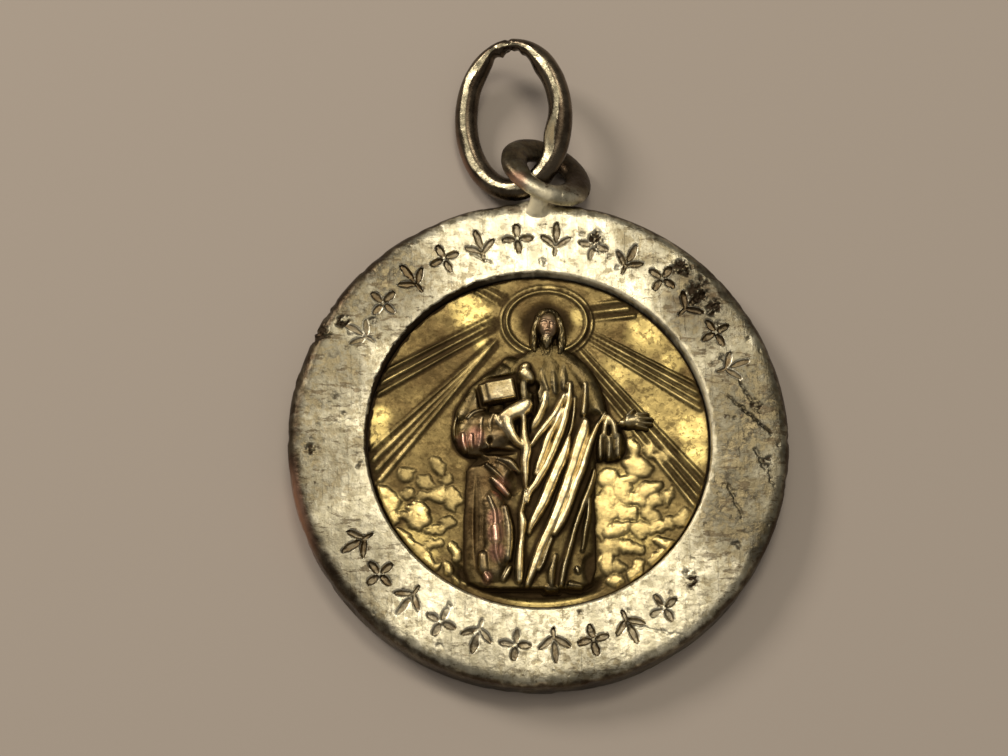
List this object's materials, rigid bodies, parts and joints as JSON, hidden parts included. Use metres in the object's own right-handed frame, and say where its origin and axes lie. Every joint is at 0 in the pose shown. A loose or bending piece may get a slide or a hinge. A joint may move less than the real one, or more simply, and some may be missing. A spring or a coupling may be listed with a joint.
{
  "type": "religious medal pendant",
  "caption": "Round worn silver-plated devotional medal with a gilt relief centre, a soldered wire eyelet and an oval jump ring.",
  "frame": {"origin": "middle of the disc's flat back face", "axes": "+Z out of the relief face, +Y towards the eyelet and jump ring, +X to the viewer's right"},
  "size_m": [0.019, 0.0255, 0.0027],
  "materials": {
    "worn_silver_plate": "worn and pitted silver plate over brass, satin",
    "antique_gilt": "antiqued gilt, worn to silver and copper on the high parts",
    "tarnished_wire": "tarnished silver-plated wire, smooth"
  },
  "bodies": {
    "root": {"frame_disc": "worn_silver_plate", "centre_plaque": "antique_gilt", "jump_ring": "tarnished_wire"}
  },
  "joints": []
}
